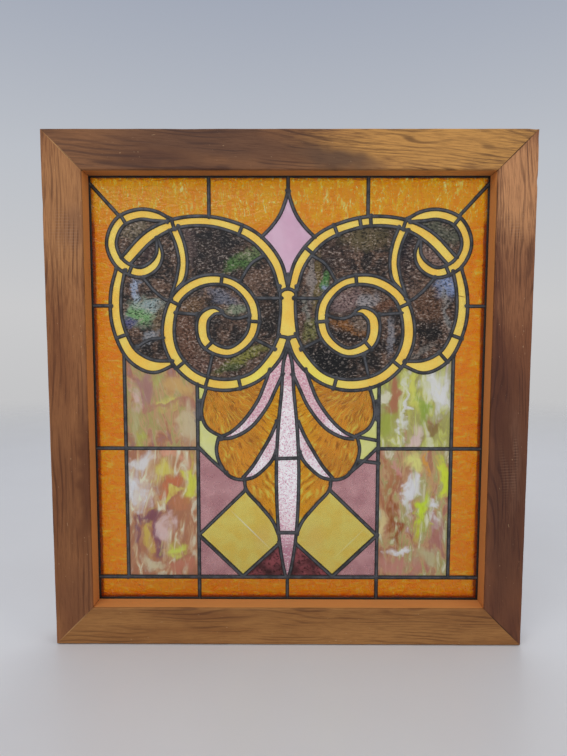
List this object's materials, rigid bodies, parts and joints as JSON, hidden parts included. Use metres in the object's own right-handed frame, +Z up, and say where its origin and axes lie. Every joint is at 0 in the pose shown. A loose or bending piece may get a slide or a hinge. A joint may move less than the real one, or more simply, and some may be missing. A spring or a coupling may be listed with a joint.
{
  "type": "stained glass window",
  "caption": "Leaded stained glass panel with mirrored scrolls and a palmette, held in a mitred wooden frame that stands on its lower rail.",
  "frame": {"origin": "middle of the frame's underside, at half its depth", "axes": "+Z up, +X to the right seen from the face, +Y from the face to the back"},
  "size_m": [0.61, 0.0446, 0.657],
  "materials": {
    "wood_top_rail": "old brown stain, worn to honey on the right",
    "wood_bottom_rail": "worn satin brown, open grain",
    "wood_left_stile": "worn satin brown, straight grain",
    "wood_right_stile": "dark reddish brown, worn lighter above",
    "lead": "dull grey lead with brighter solder at the joints",
    "amber_glass": "streaky cathedral amber, rippled",
    "gold_glass": "granular, nearly opaque gold",
    "dark_glass": "dark streaky opalescent, rough",
    "opal_glass": "swirled opalescent, glossy",
    "pink_glass": "smooth pale mauve pink",
    "hammered_glass": "hammered, white fading to pink",
    "ripple_glass": "drapery ripple amber",
    "straw_glass": "pale straw cathedral",
    "mauve_glass": "smooth dusky mauve",
    "wine_glass": "dark wine, textured",
    "clear_glass": "clear yellow, smooth"
  },
  "bodies": {
    "root": {"diamond": "pink_glass", "frame_bottom_rail": "wood_bottom_rail", "frame_left_stile": "wood_left_stile", "frame_right_stile": "wood_right_stile", "frame_top_rail": "wood_top_rail", "lead_came_net": "lead", "left_border_side": "amber_glass", "left_border_sill": "amber_glass", "left_border_top": "amber_glass", "left_clear_kite": "clear_glass", "left_curl_ribbon": "gold_glass", "left_frond_lower": "hammered_glass", "left_frond_upper": "hammered_glass", "left_ground_curl_eye": "dark_glass", "left_ground_curl_upper": "dark_glass", "left_ground_outer": "dark_glass", "left_ground_volute": "dark_glass", "left_mauve_lower": "mauve_glass", "left_mauve_upper": "mauve_glass", "left_neck_ribbon": "gold_glass", "left_opal_lower": "opal_glass", "left_opal_upper": "opal_glass", "left_petal_lower": "ripple_glass", "left_petal_middle": "ripple_glass", "left_petal_upper": "ripple_glass", "left_straw_lower": "straw_glass", "left_straw_upper": "straw_glass", "left_sweep_ribbon": "gold_glass", "left_volute_ribbon": "gold_glass", "left_wine_triangle": "wine_glass", "left_wing_ribbon": "gold_glass", "right_border_side": "amber_glass", "right_border_sill": "amber_glass", "right_border_top": "amber_glass", "right_clear_kite": "clear_glass", "right_curl_ribbon": "gold_glass", "right_frond_lower": "hammered_glass", "right_frond_upper": "hammered_glass", "right_ground_curl_eye": "dark_glass", "right_ground_curl_upper": "dark_glass", "right_ground_outer": "dark_glass", "right_ground_volute": "dark_glass", "right_mauve_lower": "mauve_glass", "right_mauve_upper": "mauve_glass", "right_neck_ribbon": "gold_glass", "right_opal_lower": "opal_glass", "right_opal_upper": "opal_glass", "right_petal_lower": "ripple_glass", "right_petal_middle": "ripple_glass", "right_petal_upper": "ripple_glass", "right_straw_lower": "straw_glass", "right_straw_upper": "straw_glass", "right_sweep_ribbon": "gold_glass", "right_volute_ribbon": "gold_glass", "right_wine_triangle": "wine_glass", "right_wing_ribbon": "gold_glass", "stalk": "hammered_glass", "upright": "gold_glass"}
  },
  "joints": []
}
